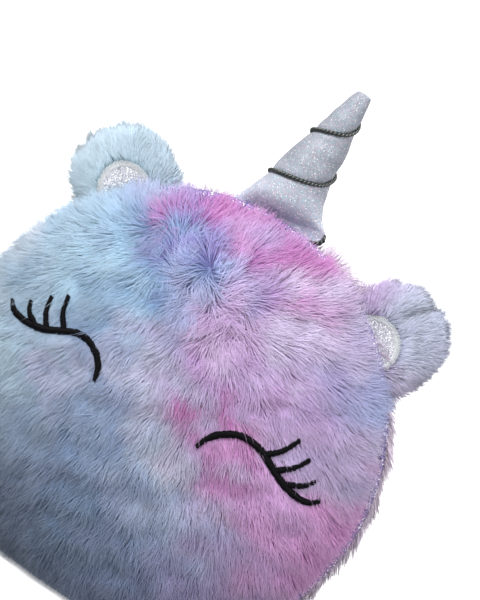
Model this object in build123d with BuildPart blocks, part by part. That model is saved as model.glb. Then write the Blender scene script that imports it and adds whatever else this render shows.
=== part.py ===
"""Stuffed plush unicorn head: two fur panels sewn round a piped seam, two folding ears and a horn.

The toy stands on its flattened underside. +Z is up, the face looks along -Y, and the origin is the
middle of the underside. The ears and the horn are soft pads of their own, sewn into the seam, and
each one folds about its own line of stitches.
"""

import os
from math import atan2, cos, degrees, radians, sin, sqrt, tan

from build123d import *

os.makedirs("parts", exist_ok=True)

# Head, millimetres. The pile of the fur is counted in the outer sizes.
HEAD_RADIUS = 125.0
HEAD_HALF_DEPTH = 60.0
HEAD_HEIGHT = 114.0  # middle of the head above the ground
PANEL_THICKNESS = 12.0  # backing cloth with its pile
BASE_ROUNDING = 4.0

# Piped seam
SEAM_Y = -2.5
PIPING_RADIUS = 2.8
PIPING_CORE_RADIUS = 1.7
SEAM_RADIUS = 121.0
SEAM_CORNER = 30.0
PIPING_LIFT = 0.4  # of the piping above the ground

# Embroidered eyes, measured from the middle of the face
THREAD_HEIGHT = 1.2
LID_WIDTH = 3.6
LASH_WIDTH = 3.0
LID_POINTS = [(33.5, 4.3), (36.3, 11.8), (41.5, 17.0), (50.0, 20.9), (58.5, 20.4), (73.8, 12.7), (97.5, 8.0)]
LASHES = [
    ((65.5, 18.6), (71.9, 25.2), (75.0, 34.8)),
    ((74.5, 13.6), (81.2, 19.8), (84.2, 28.3)),
    ((82.5, 10.6), (89.0, 13.4), (93.0, 19.3)),
    ((91.0, 8.8), (98.4, 8.4), (101.3, 12.2)),
]
BACKING_SIZE = (82.0, 44.0)
BACKING_CENTRE = (67.0, 18.0)
BACKING_THICKNESS = 1.2

# Ears
EAR_ANGLE = 42.0  # each way from the top of the head
EAR_HALF_WIDTH = 31.0
EAR_HALF_DEPTH = 10.0
EAR_HALF_HEIGHT = 20.0
EAR_MIDDLE = 9.5  # of the ear above its fold line
EAR_PANEL = 4.5
INNER_WIDTH = 30.0
INNER_HEIGHT = 10.5
BORDER_WIDTH = 4.5
INNER_FOOT = -9.0  # lower edge of the inner patch from the fold line
PATCH_THICKNESS = 0.9

# Horn, measured along its own axis from its fold line
HORN_X = -4.9
HORN_LEAN = 6.5  # degrees to the right
HORN_LENGTH = 76.0
HORN_FOOT_RADIUS = 5.0
HORN_FOOT_HALF_WIDTH = 28.0
HORN_FLARE = 20.0  # height of the flattened, spreading foot
HORN_RADIUS = 16.3  # at the top of the flare
HORN_TIP_RADIUS = 4.4
HORN_CLOTH = 1.5
HORN_CORD_RADIUS = 1.5
CORD_PITCH = 29.4
CORD_START = 1.5  # above the fold line, on the right
CORD_TURNS = 2.25
CORD_CLEARANCE = 0.15

# Closing stitches on the back, low on the left
STITCH_COUNT = 9
STITCH_RADIUS = 0.5
STITCH_LENGTH = 5.0
STITCH_FIRST_ANGLE = 205.0
STITCH_STEP = 3.2

GAP = 0.5  # between parts that move apart
REACH = 3 * HEAD_RADIUS  # larger than the whole toy, for blocks that cut a form in two
BELOW = (Align.CENTER, Align.CENTER, Align.MAX)
ABOVE = (Align.CENTER, Align.CENTER, Align.MIN)
BEHIND = (Align.CENTER, Align.MIN, Align.CENTER)
BEFORE = (Align.CENTER, Align.MAX, Align.CENTER)
SEAM_PLANE = Plane.XZ.offset(-SEAM_Y)


def head_form(inset: float) -> Part:
    """The stuffed head, shrunk by inset: a ball flattened fore and aft, standing on a flat underside."""
    with BuildPart() as form:
        Sphere(1.0, rotation=(90, 0, 0))
        scale(by=(HEAD_RADIUS - inset, HEAD_HALF_DEPTH - inset, HEAD_RADIUS - inset))
        with Locations((0, 0, max(inset, 0.0) - HEAD_HEIGHT)):
            Box(REACH, REACH, REACH, align=BELOW, mode=Mode.SUBTRACT)
        if inset >= 0:
            fillet(form.faces().sort_by(Axis.Z)[0].edges(), BASE_ROUNDING)
    return form.part.moved(Location((0, 0, HEAD_HEIGHT)))


def piping_ring(radius: float) -> Part:
    """A closed ring of round section that follows the seam and is flat along the ground.

    Half of its line is a straight run on the ground, a corner arc and a long arc up to the top.
    """
    ground = PIPING_RADIUS + PIPING_LIFT
    corner_z = ground + SEAM_CORNER
    corner_x = sqrt((SEAM_RADIUS - SEAM_CORNER) ** 2 - (HEAD_HEIGHT - corner_z) ** 2)
    turn = degrees(atan2(corner_z - HEAD_HEIGHT, corner_x))
    with BuildPart() as ring:
        with BuildLine(SEAM_PLANE) as seam_line:
            Line((0, ground), (corner_x, ground))
            CenterArc((corner_x, corner_z), SEAM_CORNER, -90, 90 + turn)
            CenterArc((0, HEAD_HEIGHT), SEAM_RADIUS, turn, 90 - turn)
        with BuildSketch(Plane.YZ):
            with Locations((SEAM_Y, ground)):
                Circle(radius)
        sweep(path=seam_line.wires()[0])
        mirror(about=Plane.YZ)
    return ring.part


HEAD = head_form(0)
HEAD_INSIDE = head_form(PANEL_THICKNESS)
PIPING = piping_ring(PIPING_RADIUS)
PIPING_CORE = piping_ring(PIPING_CORE_RADIUS)

# Front of the face, drawn in millimetres across and up from the middle of the head
FACE_PLANE = Plane(origin=(0, -HEAD_RADIUS, HEAD_HEIGHT), x_dir=(1, 0, 0), z_dir=(0, -1, 0))
FACE_REACH = HEAD_RADIUS - 5.0


def write(piece: Part, node: str) -> None:
    """Names a finished piece and writes it as its own file."""
    piece.label = node
    export_step(piece, f"parts/{node}.step")


# Closing stitches: a short ladder of thread where the stuffing went in
with BuildPart() as closing_stitches:
    for number in range(STITCH_COUNT):
        angle = radians(STITCH_FIRST_ANGLE + STITCH_STEP * number)
        x = SEAM_RADIUS * cos(angle)
        z = HEAD_HEIGHT + SEAM_RADIUS * sin(angle)
        with BuildSketch(Plane.XZ.offset(-SEAM_Y - PIPING_RADIUS - GAP)):
            with Locations((x, z)):
                Circle(STITCH_RADIUS)
        extrude(amount=-STITCH_LENGTH)
write(closing_stitches.part, "closing_stitches")

# Fur panels: two dished shells that meet at the seam, with a channel for the piping
with BuildPart() as fur_shell:
    add(HEAD)
    add(HEAD_INSIDE, mode=Mode.SUBTRACT)
with BuildPart() as channelled_shell:
    add(fur_shell.part)
    add(PIPING, mode=Mode.SUBTRACT)

with BuildPart() as front_panel:
    add(channelled_shell.part)
    with Locations((0, SEAM_Y, HEAD_HEIGHT)):
        Box(REACH, REACH, REACH, align=BEHIND, mode=Mode.SUBTRACT)
write(front_panel.part, "front_panel")

with BuildPart() as back_panel:
    add(channelled_shell.part)
    with Locations((0, SEAM_Y, HEAD_HEIGHT)):
        Box(REACH, REACH, REACH, align=BEFORE, mode=Mode.SUBTRACT)
    add(closing_stitches.part, mode=Mode.SUBTRACT)
write(back_panel.part, "back_panel")

# Piping: a strip of glitter cloth folded round a cotton core
with BuildPart() as seam_piping:
    add(PIPING)
    add(PIPING_CORE, mode=Mode.SUBTRACT)
write(seam_piping.part, "seam_piping")

with BuildPart() as piping_core:
    add(PIPING_CORE)
write(piping_core.part, "piping_core")

# Embroidered closed eyes, and the stiff backing behind each one inside the front panel
with BuildPart() as thread_layer:
    add(head_form(-THREAD_HEIGHT))
    add(HEAD, mode=Mode.SUBTRACT)

with BuildPart() as backing_layer:
    add(HEAD_INSIDE)
    add(head_form(PANEL_THICKNESS + BACKING_THICKNESS), mode=Mode.SUBTRACT)

for side, sign in (("left", -1), ("right", 1)):
    with BuildPart() as eye:
        with BuildSketch(FACE_PLANE):
            with BuildLine():
                Spline([(sign * x, z) for x, z in LID_POINTS])
            trace(line_width=LID_WIDTH)
            with Locations((sign * LID_POINTS[0][0], LID_POINTS[0][1])):
                Circle(LID_WIDTH / 2)
            for lash in LASHES:
                with BuildLine():
                    Spline([(sign * x, z) for x, z in lash])
                trace(line_width=LASH_WIDTH)
        extrude(amount=-FACE_REACH)
        add(thread_layer.part, mode=Mode.INTERSECT)
    write(eye.part, f"{side}_eye")

    with BuildPart() as eye_backing:
        with BuildSketch(FACE_PLANE):
            with Locations((sign * BACKING_CENTRE[0], BACKING_CENTRE[1])):
                Ellipse(BACKING_SIZE[0] / 2, BACKING_SIZE[1] / 2)
        extrude(amount=-FACE_REACH)
        add(backing_layer.part, mode=Mode.INTERSECT)
    write(eye_backing.part, f"{side}_eye_backing")

# Stuffing of the head, hollowed where the eye backings press into it
with BuildPart() as head_stuffing:
    add(HEAD_INSIDE)
    with BuildSketch(FACE_PLANE):
        with Locations(*[(sign * BACKING_CENTRE[0], BACKING_CENTRE[1]) for sign in (-1, 1)]):
            Ellipse(BACKING_SIZE[0] / 2, BACKING_SIZE[1] / 2)
    extrude(amount=-FACE_REACH, mode=Mode.SUBTRACT)
    add(head_form(PANEL_THICKNESS + BACKING_THICKNESS))
write(head_stuffing.part, "head_stuffing")


def ear_form(inset: float) -> Part:
    """One ear shrunk by inset: a flattened egg whose round lower edge lies about the fold line.

    Across the ear is X, outwards from the head is Y and towards the face is Z.
    """
    with BuildPart() as egg:
        Sphere(1.0, rotation=(45, 90, 0))
        scale(by=(EAR_HALF_WIDTH - inset, EAR_HALF_HEIGHT - inset, EAR_HALF_DEPTH - inset))
    return egg.part.moved(Location((0, EAR_MIDDLE, 0)))


def ear_patch(outer_size: tuple, inner_size: tuple | None) -> Part:
    """A thin arched patch on the front of the ear, or a band of it between two arches."""
    with BuildPart() as patch:
        with BuildSketch(Plane.XY) as arch:
            with Locations((0, INNER_FOOT)):
                Ellipse(*outer_size)
                if inner_size:
                    Ellipse(*inner_size, mode=Mode.SUBTRACT)
                Rectangle(
                    4 * EAR_HALF_WIDTH, EAR_HALF_WIDTH, align=(Align.CENTER, Align.MAX), mode=Mode.SUBTRACT
                )
        extrude(amount=2 * EAR_HALF_DEPTH)
        add(EAR_SKIN, mode=Mode.INTERSECT)
    return patch.part


EAR_FOLD_RADIUS = HEAD_RADIUS + EAR_HALF_HEIGHT - EAR_MIDDLE + PATCH_THICKNESS + GAP
EAR_OUTSIDE = ear_form(0)
EAR_INSIDE = ear_form(EAR_PANEL)

with BuildPart() as ear_skin:
    add(ear_form(-PATCH_THICKNESS))
    add(EAR_OUTSIDE, mode=Mode.SUBTRACT)
EAR_SKIN = ear_skin.part

with BuildPart() as ear_shell:
    add(EAR_OUTSIDE)
    add(EAR_INSIDE, mode=Mode.SUBTRACT)

with BuildPart() as ear_front:
    add(ear_shell.part)
    Box(REACH, REACH, REACH, align=BELOW, mode=Mode.SUBTRACT)

with BuildPart() as ear_back:
    add(ear_shell.part)
    Box(REACH, REACH, REACH, align=ABOVE, mode=Mode.SUBTRACT)

inner_size = (INNER_WIDTH / 2, INNER_HEIGHT)
border_size = (INNER_WIDTH / 2 + BORDER_WIDTH, INNER_HEIGHT + BORDER_WIDTH)
ear_pieces = {
    "front": ear_front.part,
    "back": ear_back.part,
    "wadding": EAR_INSIDE,
    "inner": ear_patch(inner_size, None),
    "border": ear_patch(border_size, inner_size),
}
for side, sign in (("left", -1), ("right", 1)):
    lean = radians(sign * EAR_ANGLE)
    fold = (EAR_FOLD_RADIUS * sin(lean), 0, HEAD_HEIGHT + EAR_FOLD_RADIUS * cos(lean))
    ear_plane = Plane(origin=fold, x_dir=(cos(lean), 0, -sin(lean)), z_dir=(0, -1, 0))
    print(side, "ear fold line through", [round(value, 2) for value in fold])
    for name, piece in ear_pieces.items():
        write(piece.moved(ear_plane.location), f"{side}_ear_{name}")

# Horn: a stuffed cone of glitter cloth whose foot is flattened into the seam
HORN_FOLD_Z = HEAD_HEIGHT + HEAD_RADIUS + HORN_FOOT_RADIUS + GAP
HORN_SLOPE = tan(radians(HORN_LEAN))
print("horn fold line through", [HORN_X, 0, HORN_FOLD_Z])


def horn_half_widths(height: float) -> tuple:
    """Half of the horn's width and of its depth: a straight cone, spreading and flattening to the foot."""
    taper = (HORN_RADIUS - HORN_TIP_RADIUS) / (HORN_LENGTH - HORN_FLARE)
    round_part = HORN_RADIUS - taper * max(height - HORN_FLARE, 0)
    foot_share = (1 - min(height / HORN_FLARE, 1)) ** 2
    wide = round_part + (HORN_FOOT_HALF_WIDTH - HORN_RADIUS) * foot_share
    deep = round_part + (HORN_FOOT_RADIUS - HORN_RADIUS) * foot_share
    return wide, deep


def horn_form(inset: float) -> Part:
    """The horn shrunk by inset: one loft from the rounded foot up through the flare to the flat tip."""
    foot_radius = HORN_FOOT_RADIUS - inset
    sections = []
    for turn in (15, 40, 65):
        share = sin(radians(turn))
        half_width = (HORN_FOOT_HALF_WIDTH - inset) * share
        sections.append((-foot_radius * cos(radians(turn)), half_width, foot_radius * share))
    for height in (0, 4, 8, 12, 16, HORN_FLARE, HORN_LENGTH - inset):
        wide, deep = horn_half_widths(height)
        sections.append((height, wide - inset, deep - inset))
    with BuildPart() as form:
        for height, wide, deep in sections:
            with BuildSketch(Plane.XY.offset(HORN_FOLD_Z + height)):
                with Locations((HORN_X + HORN_SLOPE * max(height, 0), 0)):
                    Ellipse(wide, deep)
        loft(ruled=True)
    return form.part


HORN_INSIDE = horn_form(HORN_CLOTH)

with BuildPart() as horn_cover:
    add(horn_form(0))
    add(HORN_INSIDE, mode=Mode.SUBTRACT)
write(horn_cover.part, "horn_cover")

with BuildPart() as horn_stuffing:
    add(HORN_INSIDE)
write(horn_stuffing.part, "horn_stuffing")

# Cord wound up the horn: a helix that rides on the cloth and ends on the back
cord_points = []
for step in range(int(CORD_TURNS * 12) + 1):
    height = CORD_START + CORD_PITCH * step / 12
    turn = radians(30 * step)
    wide, deep = horn_half_widths(height)
    reach = HORN_CORD_RADIUS + CORD_CLEARANCE
    x = HORN_X + HORN_SLOPE * height + (wide + reach) * cos(turn)
    cord_points.append((x, (deep + reach) * sin(turn), HORN_FOLD_Z + height))
with BuildPart() as horn_cord:
    with BuildLine() as cord_line:
        Spline(cord_points)
    with BuildSketch(Plane(origin=cord_line.line @ 0, z_dir=cord_line.line % 0)):
        Circle(HORN_CORD_RADIUS)
    sweep(path=cord_line.line)
print("horn cord length", round(cord_line.wires()[0].length, 1))
write(horn_cord.part, "horn_cord")
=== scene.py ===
"""Looks of the stuffed unicorn head: fur, piping, embroidery, folding ears and wound glitter horn.

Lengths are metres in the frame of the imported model: +Z up, the face looks along -Y. Every surface is worked
out as a whole array of points, and every strand of fur and every stitch is a small closed solid.
"""

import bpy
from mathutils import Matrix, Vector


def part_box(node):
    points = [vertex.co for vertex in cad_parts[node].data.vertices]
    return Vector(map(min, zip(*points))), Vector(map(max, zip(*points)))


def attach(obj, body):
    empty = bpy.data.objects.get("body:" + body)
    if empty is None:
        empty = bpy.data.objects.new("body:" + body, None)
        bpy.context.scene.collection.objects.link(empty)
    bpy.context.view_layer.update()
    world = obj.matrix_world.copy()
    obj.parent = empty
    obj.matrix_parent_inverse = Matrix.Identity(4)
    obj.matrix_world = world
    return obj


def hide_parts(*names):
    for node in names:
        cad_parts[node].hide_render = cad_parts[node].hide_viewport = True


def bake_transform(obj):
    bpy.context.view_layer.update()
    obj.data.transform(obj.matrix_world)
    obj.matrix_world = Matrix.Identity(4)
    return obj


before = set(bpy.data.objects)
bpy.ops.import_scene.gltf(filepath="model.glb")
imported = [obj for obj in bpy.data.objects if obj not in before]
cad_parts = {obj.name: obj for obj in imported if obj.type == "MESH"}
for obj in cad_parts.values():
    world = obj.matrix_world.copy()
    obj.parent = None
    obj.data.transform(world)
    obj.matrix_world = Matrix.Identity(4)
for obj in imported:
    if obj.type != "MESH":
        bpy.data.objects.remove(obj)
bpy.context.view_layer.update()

import math

import bpy
import numpy as np
from mathutils import Matrix, Vector

MM = 0.001

# ----------------------------------------------------------------------
# Camera, paper sweep and lamps.
# The head is seen a little from its left and from above, and the camera is rolled, so that the toy lies
# over to the right. The pale sweep and the lamps stand far outside it.
# ----------------------------------------------------------------------
head_low, head_high = [np.array(corner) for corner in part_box("front_panel")]
HEAD_RADIUS = (head_high[0] - head_low[0]) / 2
HEAD_MIDDLE = np.array([0.0, 0.0, head_high[2] - HEAD_RADIUS])
HEAD_HALF_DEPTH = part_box("back_panel")[1][1]

AZIMUTH = math.radians(12.0)
ELEVATION = math.radians(10.5)
ROLL = math.radians(30.4)
DISTANCE = 3.5
VIEW_HEIGHT = 0.3276
AIM_RIGHT = 0.0385
AIM_UP = 0.062

towards = Vector((math.sin(AZIMUTH) * math.cos(ELEVATION), -math.cos(AZIMUTH) * math.cos(ELEVATION),
                  math.sin(ELEVATION)))
level_right = Vector((math.cos(AZIMUTH), math.sin(AZIMUTH), 0))
level_up = towards.cross(level_right)
image_right = level_right * math.cos(ROLL) + level_up * math.sin(ROLL)
image_up = level_up * math.cos(ROLL) - level_right * math.sin(ROLL)
aim = Vector(HEAD_MIDDLE) + image_right * AIM_RIGHT + image_up * AIM_UP

camera_data = bpy.data.cameras.new("camera")
camera_data.sensor_width = 36.0
camera_data.lens = 36.0 * DISTANCE / VIEW_HEIGHT
camera = bpy.data.objects.new("camera", camera_data)
bpy.context.scene.collection.objects.link(camera)
camera.matrix_world = Matrix.Translation(aim + towards * DISTANCE) @ Matrix(
    (image_right, image_up, towards)).transposed().to_4x4()
bpy.context.scene.camera = camera


def lamp(name, place, size, watts, colour):
    """A square soft lamp at place, turned to the middle of the head."""
    data = bpy.data.lights.new(name, "AREA")
    data.size = size
    data.energy = watts
    data.color = colour
    thing = bpy.data.objects.new(name, data)
    thing.location = place
    thing.rotation_euler = (Vector(HEAD_MIDDLE) - Vector(place)).to_track_quat("-Z", "Y").to_euler()
    bpy.context.scene.collection.objects.link(thing)


lamp("key_lamp", (-0.9, -1.7, 1.9), 1.1, 62.0, (1.0, 0.99, 0.98))
lamp("fill_lamp", (1.7, -1.2, 1.0), 1.4, 11.0, (0.97, 0.98, 1.0))
lamp("rim_lamp", (0.3, 1.6, 1.4), 1.2, 16.0, (1.0, 1.0, 1.0))

world = bpy.data.worlds.new("studio")
bpy.context.scene.world = world
world.use_nodes = True
WORLD_LIGHT = 0.90
GROUND_LIGHT = 0.42
backdrop = world.node_tree.nodes["Background"]
backdrop.inputs["Color"].default_value = (1.0, 1.0, 1.0, 1.0)
rays = world.node_tree.nodes.new("ShaderNodeLightPath")
sky = world.node_tree.nodes.new("ShaderNodeTexCoord")
compass = world.node_tree.nodes.new("ShaderNodeSeparateXYZ")
grade = world.node_tree.nodes.new("ShaderNodeMapRange")
grade.interpolation_type = "SMOOTHSTEP"
for socket, value in (("From Min", -0.5), ("From Max", 0.6),
                      ("To Min", GROUND_LIGHT), ("To Max", WORLD_LIGHT)):
    grade.inputs[socket].default_value = value
strength = world.node_tree.nodes.new("ShaderNodeMapRange")
strength.inputs["To Max"].default_value = 1.0
world.node_tree.links.new(sky.outputs["Generated"], compass.inputs["Vector"])
world.node_tree.links.new(compass.outputs["Z"], grade.inputs["Value"])
world.node_tree.links.new(grade.outputs["Result"], strength.inputs["To Min"])
world.node_tree.links.new(rays.outputs["Is Camera Ray"], strength.inputs["Value"])
world.node_tree.links.new(strength.outputs["Result"], backdrop.inputs["Strength"])
bpy.context.scene.view_settings.view_transform = "Standard"


def new_material(name, roughness, colour=(0.8, 0.8, 0.8)):
    """A material of one Principled shader. Returns the material, its nodes, its links and the shader."""
    material = bpy.data.materials.new(name)
    material.use_nodes = True
    tree = material.node_tree
    shader = tree.nodes["Principled BSDF"]
    shader.inputs["Base Color"].default_value = (*colour, 1.0)
    shader.inputs["Roughness"].default_value = roughness
    return material, tree.nodes, tree.links, shader


def vector_maths(nodes, links, operation, first, second=None):
    """A vector maths node of a socket and, if any, a socket or value. Returns its result."""
    made = nodes.new("ShaderNodeVectorMath")
    made.operation = operation
    links.new(first, made.inputs[0])
    socket = made.inputs["Scale" if operation == "SCALE" else 1]
    if isinstance(second, bpy.types.NodeSocket):
        links.new(second, socket)
    elif second is not None:
        socket.default_value = second
    return made.outputs["Vector"]


sweep_material, _, _, sweep_shader = new_material("paper", 0.9, (0.93, 0.93, 0.94))
sweep_shader.inputs["Emission Color"].default_value = (1.0, 1.0, 1.0, 1.0)
sweep_shader.inputs["Emission Strength"].default_value = 0.30
SWEEP_HALF = 6.0
sweep_mesh = bpy.data.meshes.new("floor")
sweep_mesh.from_pydata([(-SWEEP_HALF, -SWEEP_HALF, 0), (SWEEP_HALF, -SWEEP_HALF, 0),
                        (SWEEP_HALF, SWEEP_HALF, 0), (-SWEEP_HALF, SWEEP_HALF, 0)], [], [(0, 1, 2, 3)])
sweep_mesh.materials.append(sweep_material)
floor = bpy.data.objects.new("floor", sweep_mesh)
bpy.context.scene.collection.objects.link(floor)
floor.visible_diffuse = False
floor.visible_glossy = False


# ----------------------------------------------------------------------
# Front panel: the backing cloth of the dyed fur, a dished round of knitted cloth 2 mm thick.
# It is cut as a circle, sewn round its edge into the seam, and stuffed until it domes.
# ----------------------------------------------------------------------
PILE = 8.0 * MM  # the cloth lies this far inside the outer form
CLOTH = 2.0 * MM
SEAM_Y = -2.5 * MM
ROOT_DEPTH = PILE + 0.3 * MM  # of the fibres' roots, just inside the cloth
FLOOR_SOFTNESS = 3.0 * MM


def head_surface(direction, inset):
    """Points on the stuffed head and their outward normals.

    A point is the middle plus the unit direction times the half sizes less the inset; below the ground it is
    lifted by the smooth maximum k * log(1 + exp(z / k)), and its normal turns to straight down.
    """
    half = np.array([HEAD_RADIUS, HEAD_HALF_DEPTH, HEAD_RADIUS]) - inset
    point = HEAD_MIDDLE + direction * half
    normal = direction / half
    normal /= np.linalg.norm(normal, axis=-1, keepdims=True)
    low = (point[..., 2] - inset) / FLOOR_SOFTNESS
    point[..., 2] = inset + FLOOR_SOFTNESS * np.log1p(np.exp(np.clip(low, -30, 30))) + np.where(
        low > 30, (low - 30) * FLOOR_SOFTNESS, 0)
    flat = 1 / (1 + np.exp(np.clip(low, -30, 30)))[..., None]
    normal = normal * (1 - flat) + np.array([0, 0, -1.0]) * flat
    return point, normal / np.linalg.norm(normal, axis=-1, keepdims=True)


def dome_direction(polar, turn, side):
    """Unit directions at an angle polar from the middle of the face (side -1) or of the back (side 1)."""
    polar, turn = np.broadcast_arrays(polar, turn)
    return np.stack([np.sin(polar) * np.cos(turn), side * np.cos(polar), np.sin(polar) * np.sin(turn)],
                    axis=-1)


def closed_skin(name, rings, material, loop=False, smooth=True):
    """A closed mesh through rings of points, an array of ring, point round the ring, XYZ.

    Quads join each ring to the next. The last ring joins the first if loop, or else each end is closed by a
    fan about its middle. Faces are turned outwards by the sign of the enclosed volume.
    """
    count, around = rings.shape[:2]
    points = rings.reshape(-1, 3)
    ring = np.arange(count if loop else count - 1)[:, None]
    place = np.arange(around)[None, :]
    after = (ring + 1) % count
    quads = np.stack([ring * around + place, ring * around + (place + 1) % around,
                      after * around + (place + 1) % around, after * around + place], axis=-1).reshape(-1, 4)
    fans = []
    if not loop:
        points = np.vstack([points, rings[0].mean(0), rings[-1].mean(0)])
        first, last = count * around, count * around + 1
        start = place[0]
        fans = np.vstack([np.stack([start * 0 + first, (start + 1) % around, start], axis=-1),
                          np.stack([start * 0 + last, start + (count - 1) * around,
                                    (start + 1) % around + (count - 1) * around], axis=-1)])
    a, b, c, d = (points[quads[:, k]] - points.mean(0) for k in range(4))
    volume = np.einsum("ij,ij->", a, np.cross(b, c)) + np.einsum("ij,ij->", a, np.cross(c, d))
    if volume < 0:
        quads = quads[:, ::-1]
        fans = fans[:, ::-1] if len(fans) else fans
    mesh = bpy.data.meshes.new(name)
    mesh.from_pydata(points.tolist(), [], quads.tolist() + [list(f) for f in np.array(fans).tolist()])
    mesh.polygons.foreach_set("use_smooth", np.full(len(mesh.polygons), smooth))
    mesh.materials.append(material)
    thing = bpy.data.objects.new(name, mesh)
    bpy.context.scene.collection.objects.link(thing)
    return thing


def set_colours(mesh, colours):
    """Stores one linear colour a point as the attribute that the fur materials read."""
    layer = mesh.attributes.new("dye_with_painted_light", "FLOAT_COLOR", "POINT")
    opaque = np.hstack([colours, np.ones((len(colours), 1))])
    layer.data.foreach_set("color", opaque.astype(np.float32).ravel())


def linear(colour):
    """Linear light from a colour of 0 to 255 as the eye reads it."""
    share = np.asarray(colour, float) / 255
    return np.where(share <= 0.04045, share / 12.92, ((share + 0.055) / 1.055) ** 2.4)


# Colours of the front: soft patches, by place across and up from the middle of the face and by reach, in
# millimetres, each with its colour. The patches grow darker towards the bottom, partly dyed so and partly
# painted shade where the head turns down away from the light.
FRONT_DYE_AND_SHADE = [
    ((-46, 114), 20, (196, 104, 178)), ((-27, 109), 14, (196, 112, 186)), ((-9, 114), 13, (208, 156, 206)),
    ((11, 110), 15, (192, 104, 184)), ((33, 109), 14, (194, 104, 182)), ((54, 106), 15, (196, 164, 206)),
    ((74, 98), 15, (204, 200, 228)), ((-74, 92), 18, (166, 190, 222)), ((-52, 88), 13, (128, 160, 204)),
    ((-31, 92), 12, (116, 126, 190)), ((-9, 89), 13, (178, 190, 232)), ((11, 90), 11, (184, 158, 206)),
    ((31, 88), 14, (214, 200, 228)), ((52, 88), 14, (204, 190, 222)), ((92, 76), 15, (170, 182, 226)),
    ((-94, 68), 18, (176, 206, 228)), ((-70, 70), 16, (172, 208, 232)), ((-49, 68), 14, (160, 196, 226)),
    ((-29, 70), 13, (134, 172, 216)), ((-9, 68), 12, (176, 180, 220)), ((11, 70), 13, (216, 182, 226)),
    ((31, 70), 14, (214, 204, 232)), ((51, 68), 14, (206, 184, 226)), ((71, 70), 13, (176, 162, 210)),
    ((-112, 48), 15, (216, 224, 238)), ((-89, 46), 16, (178, 208, 230)), ((-69, 50), 14, (180, 214, 234)),
    ((-50, 48), 12, (138, 172, 208)), ((-31, 52), 12, (176, 208, 232)), ((-9, 50), 12, (190, 178, 220)),
    ((9, 48), 12, (190, 152, 208)), ((31, 52), 13, (196, 160, 212)), ((52, 48), 13, (196, 164, 216)),
    ((71, 48), 13, (184, 160, 210)), ((91, 50), 14, (190, 184, 226)), ((110, 46), 14, (200, 190, 220)),
    ((-108, 26), 15, (184, 204, 222)), ((-88, 30), 13, (150, 182, 208)), ((-68, 34), 12, (170, 202, 224)),
    ((-50, 28), 12, (124, 148, 188)), ((-29, 32), 12, (180, 188, 220)), ((-9, 28), 12, (204, 208, 232)),
    ((10, 32), 11, (192, 176, 214)), ((30, 29), 13, (190, 92, 170)), ((50, 32), 12, (216, 184, 222)),
    ((70, 40), 13, (204, 176, 218)), ((92, 30), 14, (200, 180, 220)), ((110, 26), 14, (206, 176, 216)),
    ((-108, 4), 15, (188, 212, 228)), ((-72, 16), 11, (172, 194, 218)), ((-51, 10), 13, (200, 204, 230)),
    ((-30, 10), 11, (132, 150, 182)), ((-10, 10), 12, (158, 170, 208)), ((10, 11), 12, (204, 206, 232)),
    ((29, 8), 11, (180, 166, 204)), ((49, 10), 14, (204, 134, 198)), ((72, 4), 13, (214, 168, 220)),
    ((110, 6), 15, (224, 160, 218)), ((-90, -12), 16, (196, 224, 242)), ((-70, -8), 13, (160, 190, 214)),
    ((-49, -10), 13, (176, 188, 220)), ((-30, -12), 13, (156, 180, 212)), ((-10, -11), 13, (152, 172, 208)),
    ((11, -9), 12, (186, 202, 226)), ((30, -11), 12, (210, 212, 234)), ((50, -10), 12, (208, 186, 222)),
    ((70, -12), 13, (210, 166, 220)), ((92, -10), 15, (230, 172, 228)), ((114, -18), 13, (214, 150, 208)),
    ((-100, -36), 16, (176, 204, 224)), ((-72, -30), 15, (170, 192, 214)), ((-50, -31), 14, (152, 176, 204)),
    ((-30, -29), 14, (138, 160, 196)), ((-9, -32), 14, (136, 160, 196)), ((11, -30), 13, (154, 170, 206)),
    ((32, -31), 13, (178, 194, 224)), ((52, -29), 13, (186, 184, 222)), ((72, -32), 14, (190, 170, 214)),
    ((96, -36), 16, (216, 164, 218)), ((-92, -58), 18, (150, 176, 202)), ((-60, -52), 16, (130, 148, 178)),
    ((-30, -52), 16, (130, 148, 180)), ((-10, -50), 14, (122, 150, 184)), ((12, -52), 15, (136, 154, 188)),
    ((34, -50), 15, (148, 168, 204)), ((62, -54), 18, (170, 166, 210)), ((94, -62), 18, (204, 166, 216)),
    ((-70, -80), 22, (112, 130, 158)), ((-36, -74), 18, (104, 124, 152)), ((-8, -72), 18, (112, 138, 168)),
    ((24, -76), 20, (126, 144, 180)), ((58, -84), 22, (156, 156, 202)), ((-30, -102), 24, (100, 118, 146)),
    ((20, -106), 26, (120, 138, 172)),
]


def waves(place, reach, seed):
    """Smooth wandering values of about -1 to 1: eight sines in seeded directions, about reach long."""
    dice = np.random.default_rng(seed)
    total = np.zeros(place.shape[:-1])
    for _ in range(8):
        way = dice.normal(size=place.shape[-1])
        way *= dice.uniform(0.6, 1.6) / np.linalg.norm(way)
        total += np.sin(place @ way * (2 * np.pi / reach) + dice.uniform(0, 2 * np.pi))
    return total / 3


def patch_colours(points, patches, wander=9.0):
    """Linear colour at each point: the patches' colours weighed by exp(-distance^2 / reach^2)."""
    place = np.stack([points[:, 0], points[:, 2] - HEAD_MIDDLE[2]], axis=-1) / MM
    place = place + wander * np.stack([waves(place, 34, 5), waves(place, 26, 6)], axis=-1)
    total = np.zeros((len(points), 3))
    weight = np.full(len(points), 1e-9)
    for middle, reach, colour in patches:
        share = np.exp(-np.minimum(((place - middle) ** 2).sum(-1) / reach ** 2, 60))
        total += share[:, None] * linear(colour)
        weight += share
    return total / weight[:, None]


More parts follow.
